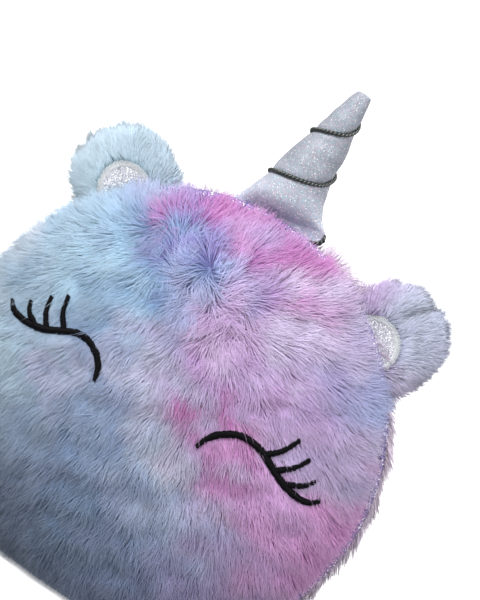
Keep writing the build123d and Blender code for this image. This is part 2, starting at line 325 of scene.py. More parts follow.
def cloth_weave():
    """Node group of knitted backing cloth: rows of loops as a height, and a slight mottle as a tone."""
    group = bpy.data.node_groups.new("knit_backing", "ShaderNodeTree")
    group.interface.new_socket("Scale", in_out="INPUT", socket_type="NodeSocketFloat")
    group.interface.new_socket("Height", in_out="OUTPUT", socket_type="NodeSocketFloat")
    group.interface.new_socket("Tone", in_out="OUTPUT", socket_type="NodeSocketFloat")
    nodes, links = group.nodes, group.links
    start, end = nodes.new("NodeGroupInput"), nodes.new("NodeGroupOutput")
    place = nodes.new("ShaderNodeTexCoord")
    rows = nodes.new("ShaderNodeTexWave")
    rows.inputs["Distortion"].default_value = 1.5
    mottle = nodes.new("ShaderNodeTexNoise")
    links.new(place.outputs["Object"], rows.inputs["Vector"])
    links.new(place.outputs["Object"], mottle.inputs["Vector"])
    links.new(start.outputs["Scale"], rows.inputs["Scale"])
    mottle.inputs["Scale"].default_value = 180.0
    links.new(rows.outputs["Fac"], end.inputs["Height"])
    links.new(mottle.outputs["Fac"], end.inputs["Tone"])
    return group


KNIT = cloth_weave()


def fur_material(name, knit_depth):
    """Dyed pile: stored colours with painted shade and highlight, finely mottled, with a soft sheen.
    knit_depth over 0 adds rows of loops.
    """
    material, nodes, links, shader = new_material(name, 0.85)
    dye_with_painted_light = nodes.new("ShaderNodeAttribute")
    dye_with_painted_light.attribute_name = "dye_with_painted_light"
    knit = nodes.new("ShaderNodeGroup")
    knit.node_tree = KNIT
    knit.inputs["Scale"].default_value = 420.0
    tone = nodes.new("ShaderNodeMapRange")
    tone.inputs["To Min"].default_value = 0.86
    tone.inputs["To Max"].default_value = 1.14
    links.new(knit.outputs["Tone"], tone.inputs["Value"])
    mottled = vector_maths(nodes, links, "SCALE", dye_with_painted_light.outputs["Color"], tone.outputs["Result"])
    links.new(mottled, shader.inputs["Base Color"])
    shader.inputs["Sheen Weight"].default_value = 0.15
    shader.inputs["Sheen Roughness"].default_value = 0.5
    shader.inputs["Specular IOR Level"].default_value = 0.12
    if knit_depth:
        bump = nodes.new("ShaderNodeBump")
        bump.inputs["Strength"].default_value = 0.5
        bump.inputs["Distance"].default_value = knit_depth
        links.new(knit.outputs["Height"], bump.inputs["Height"])
        links.new(bump.outputs["Normal"], shader.inputs["Normal"])
    return material


BACKING_CLOTH = fur_material("backing_cloth", 0.3 * MM)
PILE_FIBRE = fur_material("pile_fibre", 0)


def panel_cloth(name, side, rim_y, dye_with_painted_light):
    """A dished round of cloth: rings from its middle to its rim and back along its inside."""
    rim = math.acos(side * rim_y / HEAD_HALF_DEPTH)
    turn = np.linspace(0, 2 * np.pi, 161)[:-1]
    polar = np.linspace(0.02, rim, 60)
    outer, _ = head_surface(dome_direction(polar[:, None], turn[None, :], side), PILE)
    inner, _ = head_surface(dome_direction(polar[::-1, None], turn[None, :], side), PILE + CLOTH)
    cloth = closed_skin(name, np.concatenate([outer, inner]), BACKING_CLOTH)
    points = np.array([v.co for v in cloth.data.vertices])
    # The cloth takes its colours at 0.7 of their brightness: painted shade under the pile.
    set_colours(cloth.data, dye_with_painted_light(points) * 0.7)
    return cloth


def front_dye_and_shade(points):
    """Colour of the front panel at each point, darker towards the bottom partly as painted shade."""
    return patch_colours(points, FRONT_DYE_AND_SHADE)


front_cloth = panel_cloth("front_cloth", -1, SEAM_Y, front_dye_and_shade)
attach(front_cloth, "head")
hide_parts("front_panel")

# ----------------------------------------------------------------------
# Front fur: long dyed pile, knitted into the backing cloth and brushed outwards from the crown.
# The fibres stand in tufts that close towards their tips, painted darker at the root as shade between the
# fibres and paler at the tip as a painted highlight, and they are pressed flat round the embroidered eyes.
# ----------------------------------------------------------------------
FRONT_STRANDS = 103000
FRONT_PIECES = 6
STRAND_LENGTH = 13.5 * MM
STRAND_RADIUS = 0.24 * MM
FUR_STAND = 0.42  # how high a fibre stands as a share of its length
TUFT = 6.0 * MM
CROWN = np.array([-0.015, 0.080])
PARTING = np.array([(-0.050, 0.090), (0.012, 0.074)])
FIBRE_ROUNDNESS = 0.6
MAP_STEP = 0.0006  # between a fibre's root, middle and tip on the flat pattern

# The eyes' threads as they lie on the face, -1 on the left and 1 on the right, in millimetres
LIDS = {
    -1: [(-33.5, 4.0), (-35.6, 11.6), (-40.6, 17.0), (-48, 20.2), (-56, 20), (-64.5, 16), (-74, 11),
         (-84, 8.4), (-94, 8.2), (-99, 10.5), (-101, 13.4)],
    1: [(33.3, 4.2), (36.6, 11.6), (42, 17.2), (50, 21.4), (57.5, 21.6), (65, 19.6), (74, 14.4), (83.4, 9.6),
        (92.8, 6.9), (98.6, 7.6), (102.4, 11)],
}
LASHES = {
    -1: [[(-63.9, 17.5), (-69.6, 24.6), (-72, 34)], [(-73.1, 12), (-78.6, 19.4), (-80.6, 28)],
         [(-79.6, 9.6), (-87.2, 13.4), (-90.4, 19.4)]],
    1: [[(66, 18.8), (73.2, 25.6), (78, 35.4)], [(75.4, 14.4), (83, 20.8), (87.6, 28.6)],
        [(83.2, 10.4), (91, 14), (95.6, 19.4)]],
}
THREAD_BED = 3.3 * MM  # fibres stand no higher than this beside the threads
STRAY_SHARE = 0.03  # of the fibres, which stand up all the same


def smooth_line(corners, count):
    """Points along the smooth line through corners: a cubic for each span, with chord slopes at its ends."""
    corners = np.asarray(corners, float)
    slopes = np.gradient(corners, axis=0)
    place = np.linspace(0, len(corners) - 1, count)
    span = np.minimum(place.astype(int), len(corners) - 2)
    t = (place - span)[:, None]
    a, b, c, d = corners[span], slopes[span], corners[span + 1], slopes[span + 1]
    return a + b * t + (3 * (c - a) - 2 * b - d) * t ** 2 + (2 * (a - c) + b + d) * t ** 3


def step(value, low, high):
    """0 below low and 1 above high, with the smooth cubic 3t^2 - 2t^3 between."""
    t = np.clip((value - low) / (high - low), 0, 1)
    return t * t * (3 - 2 * t)


def within(value, start, full, last, end):
    """1 between full and last, falling smoothly to 0 at start and at end."""
    return step(value, start, full) * (1 - step(value, last, end))


THREAD_POINTS = np.concatenate([smooth_line(line, 50 if line in LIDS.values() else 14) * MM
                                for side in (-1, 1) for line in [LIDS[side]] + LASHES[side]])


def thread_gap(points):
    """Distance across the face from each point to the nearest eye thread."""
    place = np.stack([points[..., 0], points[..., 2] - HEAD_MIDDLE[2]], axis=-1)
    gap = np.full(points.shape[:-1], np.inf)
    for spot in THREAD_POINTS:
        gap = np.minimum(gap, ((place - spot) ** 2).sum(-1))
    return np.sqrt(gap)


def tufts(plane, size, seed):
    """Middle of the tuft that holds each point of a plane, and a number of 0 to 1 for that tuft.

    Each square cell of the given size has one middle at a scrambled place in it; the nearest of nine holds.
    """
    cell = np.floor(plane / size)
    best = np.full(len(plane), np.inf)
    middle = plane.copy()
    number = np.zeros(len(plane))
    for across, up in np.ndindex(3, 3):
        corner = cell + np.array([across - 1, up - 1])
        scramble = np.sin(corner @ np.array([[12.99, 39.35], [78.23, 11.14]]) + seed) * 4375.85
        scramble -= np.floor(scramble)
        spot = (corner + scramble) * size
        gap = ((plane - spot) ** 2).sum(-1)
        nearer = gap < best
        best = np.where(nearer, gap, best)
        middle = np.where(nearer[:, None], spot, middle)
        number = np.where(nearer, scramble[:, 0], number)
    return middle, number


def unit(vectors):
    """Vectors scaled to length one."""
    return vectors / np.maximum(np.linalg.norm(vectors, axis=-1, keepdims=True), 1e-12)


def repeated_solid(name, points, corners, starts, material):
    """One mesh of a closed form many times over, smooth. points is form, point, XYZ.

    corners are the points of the form's faces one after another; starts is where each face begins in them.
    """
    count, per = points.shape[:2]
    turns = np.arange(count)[:, None]
    mesh = bpy.data.meshes.new(name)
    mesh.vertices.add(count * per)
    mesh.vertices.foreach_set("co", points.astype(np.float32).ravel())
    mesh.loops.add(count * len(corners))
    mesh.loops.foreach_set("vertex_index", (corners + per * turns).ravel().astype(np.int32))
    mesh.polygons.add(count * len(starts))
    mesh.polygons.foreach_set("loop_start", (starts + len(corners) * turns).ravel().astype(np.int32))
    mesh.polygons.foreach_set("use_smooth", np.ones(count * len(starts), bool))
    mesh.update(calc_edges=True)
    mesh.materials.append(material)
    thing = bpy.data.objects.new(name, mesh)
    bpy.context.scene.collection.objects.link(thing)
    return thing


def strand_solids(name, path, normals, radius, colours, material, spread):
    """One mesh of closed spikes. path is strand, station of three, XYZ.

    Each spike has a three-sided ring at its root and another at its middle, square to the path, and a point
    at its tip: ring point k is centre + radius * (cos(120 k) * side + sin(120 k) * lift). spread is each
    root's place on the flat pattern, kept as the piece's map.
    """
    count = len(path)
    way = unit(np.stack([path[:, 1] - path[:, 0], path[:, 2] - path[:, 0]], axis=1))
    side = unit(np.cross(way, normals[:, None]))
    lift = np.cross(way, side)
    angle = np.arange(3) * 2 * np.pi / 3
    size = radius[:, None, None, None] * np.array([1.0, 0.8])[None, :, None, None]
    rings = path[:, :2, None] + size * (np.cos(angle)[:, None] * side[:, :, None]
                                        + np.sin(angle)[:, None] * lift[:, :, None])
    points = np.concatenate([rings.reshape(count, 6, 3), path[:, 2:]], axis=1)
    points[..., 2] = np.maximum(points[..., 2], 0.3 * MM)
    corners = np.array([0, 1, 4, 3, 1, 2, 5, 4, 2, 0, 3, 5, 3, 4, 6, 4, 5, 6, 5, 3, 6, 2, 1, 0])
    starts = np.array([0, 4, 8, 12, 15, 18, 21])
    thing = repeated_solid(name, points, corners, starts, material)
    mesh = thing.data
    facing = unit(points[:, :6] - np.repeat(path[:, :2], 3, axis=1)) * FIBRE_ROUNDNESS + normals[:, None]
    facing = np.concatenate([facing, normals[:, None] + 0.3 * way[:, 1:]], axis=1)
    mesh.normals_split_custom_set_from_vertices(unit(facing).reshape(-1, 3))
    set_colours(mesh, colours.reshape(-1, 3))
    pattern = np.repeat(spread[:, None], 7, axis=1)
    pattern[:, 3:6] += MAP_STEP
    pattern[:, 6] += (2 * MAP_STEP, 0.0)
    pattern[:, [1, 4]] += (0.0, 0.0008)
    layer = mesh.uv_layers.new(name="OFBake")
    layer.data.foreach_set("uv", pattern[:, corners].astype(np.float32).ravel())
    return thing


def fur_paths(roots, normals, flow, plane, length, height, seed, tuft=TUFT, ruffle=0.0):
    """Three stations for each strand, root, middle and tip, and the tuft's number.

    ruffle turns whole tufts about, and a strand leaves the cloth steeply and then lies along the flow: a
    station at t is root + length * (t^1.3 * flow + height * (2t - t^2) * normal), and it is drawn by t^2
    towards its tuft's line.
    """
    dice = np.random.default_rng(seed)
    middle, number = tufts(plane + 0.18 * tuft * dice.normal(size=plane.shape), tuft, seed)
    own_swing = 0.20 * dice.normal(size=len(roots))
    swing = 0.22 * waves(plane, 17 * MM, seed + 1) + (0.30 + ruffle) * (number - 0.5) + own_swing
    side = np.cross(normals, flow)
    flow = flow * np.cos(swing)[:, None] + side * np.sin(swing)[:, None]
    across = unit(np.stack([-plane[:, 1], plane[:, 0]], axis=-1))
    pull = ((middle - plane) * across).sum(-1)
    outward = unit(np.stack([plane[:, 0], 0 * plane[:, 0], plane[:, 1]], axis=-1))
    turnwise = np.stack([-outward[:, 2], 0 * outward[:, 0], outward[:, 0]], axis=-1)
    stations = []
    for t in (0.0, 0.5, 1.0):
        rise = height * (2 * t - t * t)
        point = roots + (length * t ** 1.3)[:, None] * flow + (length * rise)[:, None] * normals
        point = point + (0.42 * t * t * pull)[:, None] * turnwise
        stations.append(point)
    return np.stack(stations, axis=1), number


def fibre_colours(dye_with_painted_light, number, seed):
    """Linear colours of a strand's seven points: a root darkened as painted shade between the fibres, the full
    middle, and a tip whitened as a painted highlight.
    """
    dice = np.random.default_rng(seed)
    tone = (1 + 0.16 * (number - 0.5) + 0.06 * dice.normal(size=len(dye_with_painted_light)))[:, None]
    grey = dye_with_painted_light.mean(-1, keepdims=True)
    # Painted shade: the root takes the colour richer and at half its brightness, as if in the fibres' shade.
    deep = np.clip(grey + (dye_with_painted_light - grey) * 1.35, 0.02, 1) * 0.5
    # Painted highlight: the tip is whitened and brightened, as if lit.
    tip = (dye_with_painted_light * 0.80 + 0.20 * np.array([0.86, 0.86, 0.95])) * 1.06
    shades = np.stack([deep] * 3 + [dye_with_painted_light * 0.92] * 3 + [tip], axis=1)
    return np.clip(shades * tone[:, None], 0, 1)


def panel_roots(count, side, seed):
    """Even roots over one panel, clear of the ground: a golden-angle spiral on equal areas.

    Returns points, normals, places on the flat panel, nearness to its rim, turns round it, and places across
    and up from the middle of the face.
    """
    dice = np.random.default_rng(seed)
    rim = math.acos(side * SEAM_Y / HEAD_HALF_DEPTH)
    grid = np.linspace(0, rim, 400)
    edge, _ = head_surface(dome_direction(grid, np.full(400, np.pi / 2), side), ROOT_DEPTH)
    run = np.linalg.norm(np.diff(edge, axis=0), axis=-1)
    area = np.concatenate([[0], np.cumsum(run * np.sin((grid[1:] + grid[:-1]) / 2))])
    share = (np.arange(count) + dice.uniform(0, 1, count)) / count
    polar = np.interp(share, area / area[-1], grid)
    turn = np.arange(count) * math.pi * (3 - math.sqrt(5)) + 0.02 * dice.normal(size=count)
    along = np.interp(polar, grid, np.concatenate([[0], np.cumsum(run)]))
    plane = along[:, None] * np.stack([np.cos(turn), np.sin(turn)], axis=-1)
    points, normals = head_surface(dome_direction(polar, turn, side), ROOT_DEPTH)
    place = np.stack([points[:, 0], points[:, 2] - HEAD_MIDDLE[2]], axis=-1)
    clear = points[:, 2] > PILE + 1.2 * MM
    found = points, normals, plane, polar / rim, np.mod(turn, 2 * np.pi), place
    return [values[clear] for values in found]


def brushed(heading, normals):
    """Unit directions of a heading across the face, turned three quarters of the way into the cloth."""
    flow = np.stack([heading[:, 0], np.zeros(len(heading)), heading[:, 1]], axis=-1)
    return unit(flow - (flow * normals).sum(-1, keepdims=True) * normals * 0.75)


def from_parting(place, wander, seed):
    """Way from the nearest place on the parting line, made to wander with two seeded waves."""
    along = PARTING[1] - PARTING[0]
    share = np.clip((place - PARTING[0]) @ along / (along @ along), 0, 1)[:, None]
    swirl = np.stack([waves(place, 26 * MM, seed), waves(place, 26 * MM, seed + 1)], axis=-1)
    return place - (PARTING[0] + share * along) + wander * swirl


def grow_fur(name, pieces, paths, normals, colours, place, turn, girth, seed):
    """A panel's strands as pieces, by their turn round it. girth is their least and most thickness."""
    sector = np.floor(turn / (2 * np.pi) * pieces).astype(int)
    pattern = place / (2.2 * HEAD_RADIUS) + 0.5
    for index in range(pieces):
        part = sector == index
        radius = STRAND_RADIUS * np.random.default_rng(seed + index).uniform(*girth, part.sum())
        fur = strand_solids(f"{name}_{index + 1}", paths[part], normals[part], radius, colours[part],
                            PILE_FIBRE, pattern[part])
        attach(fur, "head")


roots, normals, plane, rim_share, turn, place = panel_roots(FRONT_STRANDS, -1, 11)
parted = from_parting(place, 9 * MM, 16)
unsettled = 1 - step(np.linalg.norm(parted, axis=-1), 2 * MM, 26 * MM)
away = unit(parted + 0.2 * (place - CROWN))
near_rim = step(rim_share, 0.62, 0.95)[:, None]
flow = brushed(unit(away * (1 - near_rim) + unit(place) * near_rim), normals)
dice = np.random.default_rng(12)
clock = np.degrees(np.arctan2(place[:, 0], place[:, 1])) + 5 * waves(plane, 24 * MM, 18)
top_bare = within(clock, -34, -26, 12, 22) + 0.5 * within(clock, 28, 34, 46, 54)
side_bare = within(clock, 54, 64, 130, 142)
trim = 1 - 0.25 * step(rim_share, 0.86, 1.0) - 0.64 * top_bare * step(rim_share, 0.84, 0.94)
trim = trim - 0.46 * side_bare * step(rim_share, 0.80, 0.94)
length = STRAND_LENGTH * dice.uniform(0.72, 1.12, len(roots)) * trim
height = FUR_STAND + 0.10 * waves(plane, 30 * MM, 13) + 0.16 * unsettled
paths, number = fur_paths(roots, normals, flow, plane, length, height, 14, ruffle=2.4 * unsettled)
pressed = dice.uniform(0, 1, len(roots)) > STRAY_SHARE
for station in (1, 2):
    rise = ((paths[:, station] - roots) * normals).sum(-1)
    limit = THREAD_BED + 0.55 * np.maximum(thread_gap(paths[:, station]) - 2 * MM, 0)
    paths[:, station] -= (np.maximum(rise - limit, 0) * pressed)[:, None] * normals
colours = fibre_colours(front_dye_and_shade(roots), number, 15)
grow_fur("front_fur", FRONT_PIECES, paths, normals, colours, place, turn, (0.7, 1.2), 20)

# ----------------------------------------------------------------------
# Back panel: backing cloth and paler pile of the same length, in washed pink, lilac and sky blue.
# Sewn to the front all round; its fur stands out past the seam and frames the face.
# ----------------------------------------------------------------------
BACK_STRANDS = 36000
BACK_PIECES = 3
HORN_GAP = (-33 * MM, 23 * MM)  # fur between these places is sheared off, where the horn is sewn in
BACK_DYE = [
    ((-80, 80), 34, (214, 216, 236)), ((-20, 105), 34, (226, 206, 228)), ((50, 96), 34, (228, 212, 232)),
    ((104, 40), 34, (234, 214, 236)), ((-104, 20), 36, (196, 214, 232)), ((-40, 30), 40, (202, 198, 232)),
    ((30, 30), 36, (222, 184, 220)), ((80, -30), 38, (228, 210, 234)), ((118, -10), 24, (234, 214, 236)),
    ((-70, -50), 40, (176, 198, 226)), ((0, -40), 36, (186, 184, 226)), ((40, -96), 38, (196, 184, 220)),
    ((-40, -104), 34, (170, 190, 216)),
]


def back_dye(points):
    """Dye of the back panel at each point."""
    return patch_colours(points, BACK_DYE, 14.0)


back_cloth = panel_cloth("back_cloth", 1, SEAM_Y, back_dye)
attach(back_cloth, "head")
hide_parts("back_panel")

roots, normals, plane, rim_share, turn, place = panel_roots(BACK_STRANDS, 1, 31)
clock = np.degrees(np.arctan2(place[:, 0], place[:, 1]))
beside_horn = within(clock, -38, -30, 12, 20) * step(rim_share, 0.74, 0.90)
under_horn = within(roots[:, 0], HORN_GAP[0] - 3 * MM, *HORN_GAP, HORN_GAP[1] + 3 * MM)
under_horn = under_horn * (place[:, 1] > 0) * (1 - step(roots[:, 1], 7 * MM, 12 * MM))
sideways = within(clock, 50, 60, 130, 142)
flow = brushed(unit(from_parting(place, 10 * MM, 32)), normals)
flow[:, 1] += 0.7 * beside_horn
flow = unit(flow)
length = STRAND_LENGTH * np.random.default_rng(34).uniform(0.75, 1.15, len(roots))
length *= 1 + 0.12 * step(rim_share, 0.80, 0.96) * (1 - beside_horn) - 0.28 * beside_horn
length *= 1 - 0.88 * under_horn
height = FUR_STAND + 0.10 * waves(plane, 30 * MM, 35)
height += 0.25 * step(rim_share, 0.88, 1.0) * (1 - beside_horn) * (1 - sideways)
paths, number = fur_paths(roots, normals, flow, plane, length, height, 36)
colours = fibre_colours(back_dye(roots), number, 37)
grow_fur("back_fur", BACK_PIECES, paths, normals, colours, place, turn, (1.15, 1.8), 40)


# ----------------------------------------------------------------------
# Seam piping: a bias strip of lavender glitter cloth round a cotton cord, caught all round in the seam.
# ----------------------------------------------------------------------
PIPING_RING = 121.5 * MM
PIPING_RADIUS = 2.7 * MM
CORE_RADIUS = 1.6 * MM
PIPING_REST = 3.4 * MM


def glitter_flecks():
    """Node group of flaked glitter cloth: cells by colour, and how bright, rough and tilted each fleck is.

    A share of the cells are bright flecks, painted white and, in the material, glowing: painted glints. The rest
    take a colour between the two tints by their random number.
    """
    group = bpy.data.node_groups.new("glitter_flecks", "ShaderNodeTree")
    for way, sockets in (
            ("INPUT", {"Scale": "Float", "Ground": "Color", "Tint A": "Color", "Tint B": "Color",
                       "Bright Share": "Float", "Tilt": "Float"}),
            ("OUTPUT", {"Color": "Color", "Bright": "Float", "Rough": "Float", "Normal": "Vector"})):
        for name, kind in sockets.items():
            group.interface.new_socket(name, in_out=way, socket_type=f"NodeSocket{kind}")
    nodes, links = group.nodes, group.links
    start, end = nodes.new("NodeGroupInput"), nodes.new("NodeGroupOutput")
    place = nodes.new("ShaderNodeTexCoord")
    cells = nodes.new("ShaderNodeTexVoronoi")
    links.new(place.outputs["Object"], cells.inputs["Vector"])
    links.new(start.outputs["Scale"], cells.inputs["Scale"])
    parts = nodes.new("ShaderNodeSeparateColor")
    links.new(cells.outputs["Color"], parts.inputs["Color"])

    def mix(factor, first, second):
        """A colour mix of two sockets by a factor socket or value. Returns the result."""
        node = nodes.new("ShaderNodeMix")
        node.data_type = "RGBA"
        if isinstance(factor, float):
            node.inputs["Factor"].default_value = factor
        else:
            links.new(factor, node.inputs["Factor"])
        links.new(first, node.inputs["A"])
        links.new(second, node.inputs["B"])
        return node.outputs["Result"]

    def compare(operation, first, second):
        """1 where a socket is over or under a socket or value. Returns the result."""
        node = nodes.new("ShaderNodeMath")
        node.operation = operation
        links.new(first, node.inputs[0])
        if isinstance(second, float):
            node.inputs[1].default_value = second
        else:
            links.new(second, node.inputs[1])
        return node.outputs[0]

    tints = mix(parts.outputs["Green"], start.outputs["Tint A"], start.outputs["Tint B"])
    tinted = mix(0.75, start.outputs["Ground"], tints)
    bright = compare("LESS_THAN", parts.outputs["Red"], start.outputs["Bright Share"])
    dark = compare("GREATER_THAN", parts.outputs["Red"], 0.86)
    # Painted glints: the bright flecks are white.
    white = nodes.new("ShaderNodeRGB")
    white.outputs[0].default_value = (1.0, 1.0, 1.0, 1.0)
    flecked = mix(dark, tinted, vector_maths(nodes, links, "SCALE", tinted, 0.72))
    links.new(mix(bright, flecked, white.outputs[0]), end.inputs["Color"])
    links.new(bright, end.inputs["Bright"])
    rough = nodes.new("ShaderNodeMapRange")
    rough.inputs["To Min"].default_value = 0.22
    rough.inputs["To Max"].default_value = 0.62
    links.new(parts.outputs["Blue"], rough.inputs["Value"])
    links.new(rough.outputs["Result"], end.inputs["Rough"])
    surface = nodes.new("ShaderNodeNewGeometry")
    centred = vector_maths(nodes, links, "SUBTRACT", cells.outputs["Color"], (0.5, 0.5, 0.5))
    tilted = vector_maths(nodes, links, "SCALE", centred, start.outputs["Tilt"])
    added = vector_maths(nodes, links, "ADD", surface.outputs["Normal"], tilted)
    links.new(vector_maths(nodes, links, "NORMALIZE", added), end.inputs["Normal"])
    return group


FLECKS = glitter_flecks()


def glitter_material(name, scale, ground, tint_a, tint_b, bright_share, tilt, metallic, glow):
    """Glitter cloth of a ground and two tints. glow is how far the bright flecks shine of themselves, as painted
    glints.
    """
    material, nodes, links, shader = new_material(name, 0.4)
    flecks = nodes.new("ShaderNodeGroup")
    flecks.node_tree = FLECKS
    for socket, value in (("Scale", scale), ("Ground", (*linear(ground), 1)),
                          ("Tint A", (*linear(tint_a), 1)), ("Tint B", (*linear(tint_b), 1)),
                          ("Bright Share", bright_share), ("Tilt", tilt)):
        flecks.inputs[socket].default_value = value
    links.new(flecks.outputs["Color"], shader.inputs["Base Color"])
    links.new(flecks.outputs["Rough"], shader.inputs["Roughness"])
    links.new(flecks.outputs["Normal"], shader.inputs["Normal"])
    shader.inputs["Metallic"].default_value = metallic
    # Painted glints: the bright flecks glow in their own colour.
    painted_glints = vector_maths(nodes, links, "SCALE", flecks.outputs["Color"], flecks.outputs["Bright"])
    links.new(painted_glints, shader.inputs["Emission Color"])
    shader.inputs["Emission Strength"].default_value = glow
    return material


def round_rings(centre, radius, side, lift, count):
    """Rings of count points round each centre, in the plane of its side and lift."""
    around = np.linspace(0, 2 * np.pi, count, endpoint=False)
    return centre[:, None] + radius[:, None, None] * (
        np.cos(around)[None, :, None] * side[:, None] + np.sin(around)[None, :, None] * lift[:, None])


def seam_ring(radius, bump_height):
    """Rings of a tube round the seam: a circle that runs flat along the ground, slightly lumpy."""
    angle = np.linspace(0, 2 * np.pi, 421)[:-1]
    centre = np.stack([PIPING_RING * np.cos(angle), np.full(len(angle), SEAM_Y),
                       PIPING_RING * np.sin(angle)], axis=-1)
    centre += (0, 0, HEAD_MIDDLE[2])
    low = (centre[:, 2] - PIPING_REST) / FLOOR_SOFTNESS
    centre[:, 2] = PIPING_REST + FLOOR_SOFTNESS * np.logaddexp(0, low)
    ahead = unit(np.roll(centre, -1, 0) - np.roll(centre, 1, 0))
    side = unit(np.cross(ahead, (0, 1.0, 0)))
    lumps = waves(angle[:, None] * 12, 1.0, 51) + 0.5 * waves(angle[:, None] * 40, 1.0, 52)
    lift = np.tile((0, 1.0, 0), (len(angle), 1))
    return round_rings(centre, radius + bump_height * lumps, side, lift, 16)


PIPING_GLITTER = glitter_material(
    "piping_glitter", scale=1500, ground=(128, 112, 172), tint_a=(84, 74, 120), tint_b=(176, 160, 214),
    bright_share=0.10, tilt=1.0, metallic=0.45, glow=0.25)
piping = closed_skin("seam_piping_strip", seam_ring(PIPING_RADIUS, 0.18 * MM), PIPING_GLITTER, loop=True)
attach(piping, "head")
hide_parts("seam_piping")


def cotton_material(name, colour, depth):
    """Matt cotton or polyester fibre: clouded tone and a loose fibrous height."""
    material, nodes, links, shader = new_material(name, 0.9)
    place = nodes.new("ShaderNodeTexCoord")
    fibres = nodes.new("ShaderNodeTexNoise")
    fibres.inputs["Scale"].default_value = 260.0
    fibres.inputs["Detail"].default_value = 6.0
    fibres.inputs["Distortion"].default_value = 1.2
    links.new(place.outputs["Object"], fibres.inputs["Vector"])
    tone = nodes.new("ShaderNodeValToRGB")
    tone.color_ramp.elements[0].position = 0.3
    tone.color_ramp.elements[0].color = (*(linear(colour) * 0.72), 1)
    tone.color_ramp.elements[1].position = 0.7
    tone.color_ramp.elements[1].color = (*linear(colour), 1)
    links.new(fibres.outputs["Fac"], tone.inputs["Fac"])
    links.new(tone.outputs["Color"], shader.inputs["Base Color"])
    bump = nodes.new("ShaderNodeBump")
    bump.inputs["Distance"].default_value = depth
    links.new(fibres.outputs["Fac"], bump.inputs["Height"])
    links.new(bump.outputs["Normal"], shader.inputs["Normal"])
    return material


COTTON = cotton_material("cotton_core", (226, 222, 214), 0.2 * MM)
core = closed_skin("piping_cord_core", seam_ring(CORE_RADIUS, 0), COTTON, loop=True)
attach(core, "head")
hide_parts("piping_core")


# ----------------------------------------------------------------------
# Closed eyes: a lid and four lashes each, embroidered in black satin stitch over a padding of the same
# thread. Each stitch is a bowed thread that crosses the line a little aslant.
# ----------------------------------------------------------------------
LID_HALF = 2.0 * MM
LASH_HALF = 1.85 * MM
STITCH_RADIUS = 0.38 * MM
STITCH_PITCH = 0.62 * MM
EYE_INSET = 3.6 * MM
EYE_CROWN = 1.3 * MM


def face_points(place, inset):
    """Points on the face at places across and up from its middle, at an inset, and the outward normals."""
    half = np.array([HEAD_RADIUS, HEAD_HALF_DEPTH, HEAD_RADIUS]) - inset
    share = place / half[[0, 2]]
    direction = np.stack([share[..., 0], -np.sqrt(1 - (share ** 2).sum(-1)), share[..., 1]], axis=-1)
    return HEAD_MIDDLE + direction * half, unit(direction / half)


def tube_solids(name, paths, radii, flatness, normals, material, sides=6):
    """One mesh of closed tubes. paths is tube, station, XYZ; radii is tube, station.

    A ring point is centre + radius * (cos * side + flatness * sin * lift), with side and lift square to the
    path.
    """
    count, stations = radii.shape
    way = unit(np.gradient(paths, axis=1))
    side = unit(np.cross(way, normals))
    lift = np.cross(side, way)
    angle = np.arange(sides) * 2 * np.pi / sides
    rings = paths[:, :, None] + radii[:, :, None, None] * (
        np.cos(angle)[:, None] * side[:, :, None] + flatness * np.sin(angle)[:, None] * lift[:, :, None])
    points = np.concatenate([rings.reshape(count, -1, 3), paths[:, :1], paths[:, -1:]], axis=1)
    ring = np.arange(stations - 1)[:, None] * sides
    this, after = np.arange(sides)[None], (np.arange(sides)[None] + 1) % sides
    quads = np.stack([ring + this, ring + sides + this, ring + sides + after, ring + after], axis=-1)
    last = (stations - 1) * sides
    start = np.stack([this[0] * 0 + stations * sides, this[0], after[0]], axis=-1)
    finish = np.stack([this[0] * 0 + stations * sides + 1, last + after[0], last + this[0]], axis=-1)
    faces = [*quads.reshape(-1, 4), *start, *finish]
    starts = np.concatenate([[0], np.cumsum([len(face) for face in faces])[:-1]])
    return repeated_solid(name, points, np.concatenate(faces), starts, material)


def thread_material(name, colour, roughness, sheen):
    """Glossy embroidery thread: fine uneven tone along it, with a sheen."""
    material, nodes, links, shader = new_material(name, roughness)
    place = nodes.new("ShaderNodeTexCoord")
    fibres = nodes.new("ShaderNodeTexNoise")
    fibres.inputs["Scale"].default_value = 1800.0
    links.new(place.outputs["Object"], fibres.inputs["Vector"])
    tone = nodes.new("ShaderNodeValToRGB")
    tone.color_ramp.elements[0].color = (*(linear(colour) * 0.6), 1)
    tone.color_ramp.elements[1].color = (*np.clip(linear(colour) * 1.3, 0, 1), 1)
    links.new(fibres.outputs["Fac"], tone.inputs["Fac"])
    links.new(tone.outputs["Color"], shader.inputs["Base Color"])
    shader.inputs["Sheen Weight"].default_value = sheen
    shader.inputs["Anisotropic"].default_value = 0.4
    return material


BLACK_THREAD = thread_material("black_satin_thread", (5, 5, 9), 0.6, 0.0)
BLACK_THREAD.node_tree.nodes["Principled BSDF"].inputs["Specular IOR Level"].default_value = 0.15


def run_along(line):
    """Length of the line up to each of its points."""
    return np.concatenate([[0], np.cumsum(np.linalg.norm(np.diff(line, axis=0), axis=-1))])


